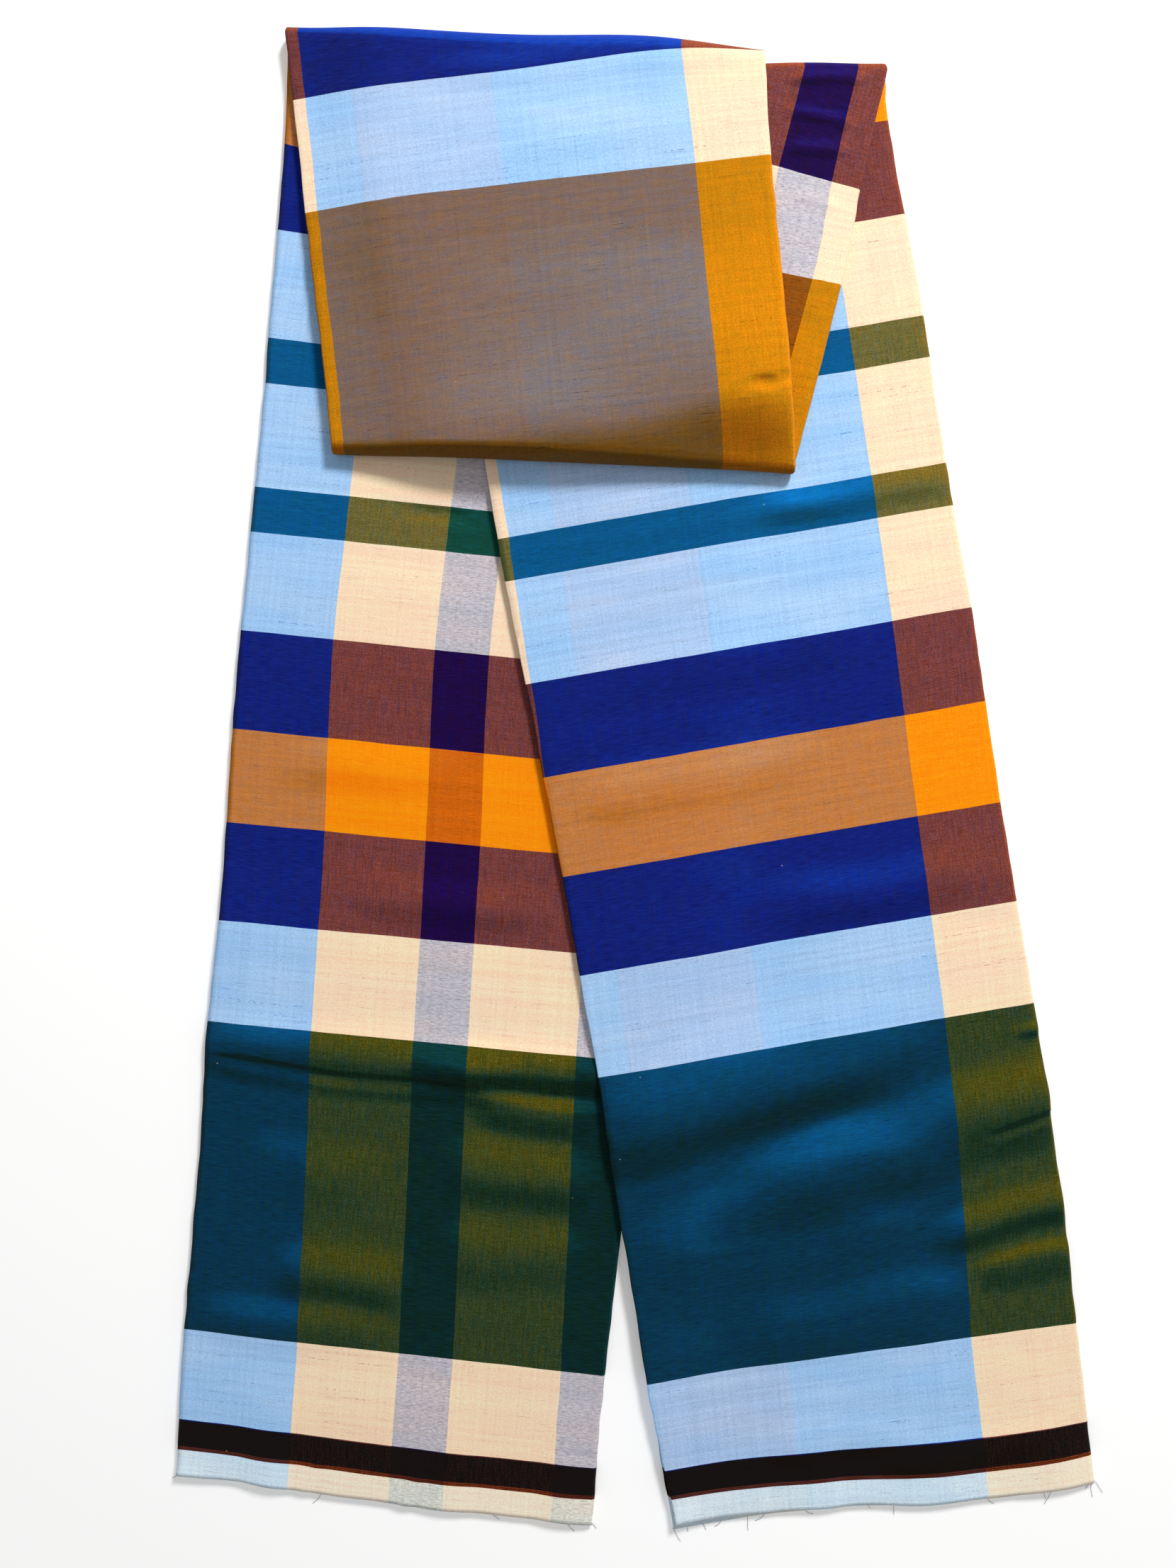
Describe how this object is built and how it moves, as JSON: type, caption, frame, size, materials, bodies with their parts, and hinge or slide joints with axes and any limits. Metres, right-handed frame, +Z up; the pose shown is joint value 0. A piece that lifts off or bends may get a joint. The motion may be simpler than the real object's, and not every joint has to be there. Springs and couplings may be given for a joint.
{
  "type": "folded lungi",
  "caption": "Checked cotton wrap cloth folded lengthwise into a band and laid flat as an upturned V, its middle folded down over the top as a flap.",
  "frame": {"origin": "under the middle of the outline, on the surface that the cloth lies on", "axes": "+Z up out of the surface, +Y from the raw ends towards the flap, +X to the right as seen from above"},
  "size_m": [0.606, 0.9894, 0.0231],
  "materials": {
    "checked_cotton": "matte plain weave, yarn dyed in a check of orange, navy, teal, black and pale stripes"
  },
  "bodies": {
    "root": {"left_leg": "checked_cotton", "front_flap": "checked_cotton", "under_flap": "checked_cotton", "right_leg": "checked_cotton", "hidden_layers": "checked_cotton"}
  },
  "joints": []
}
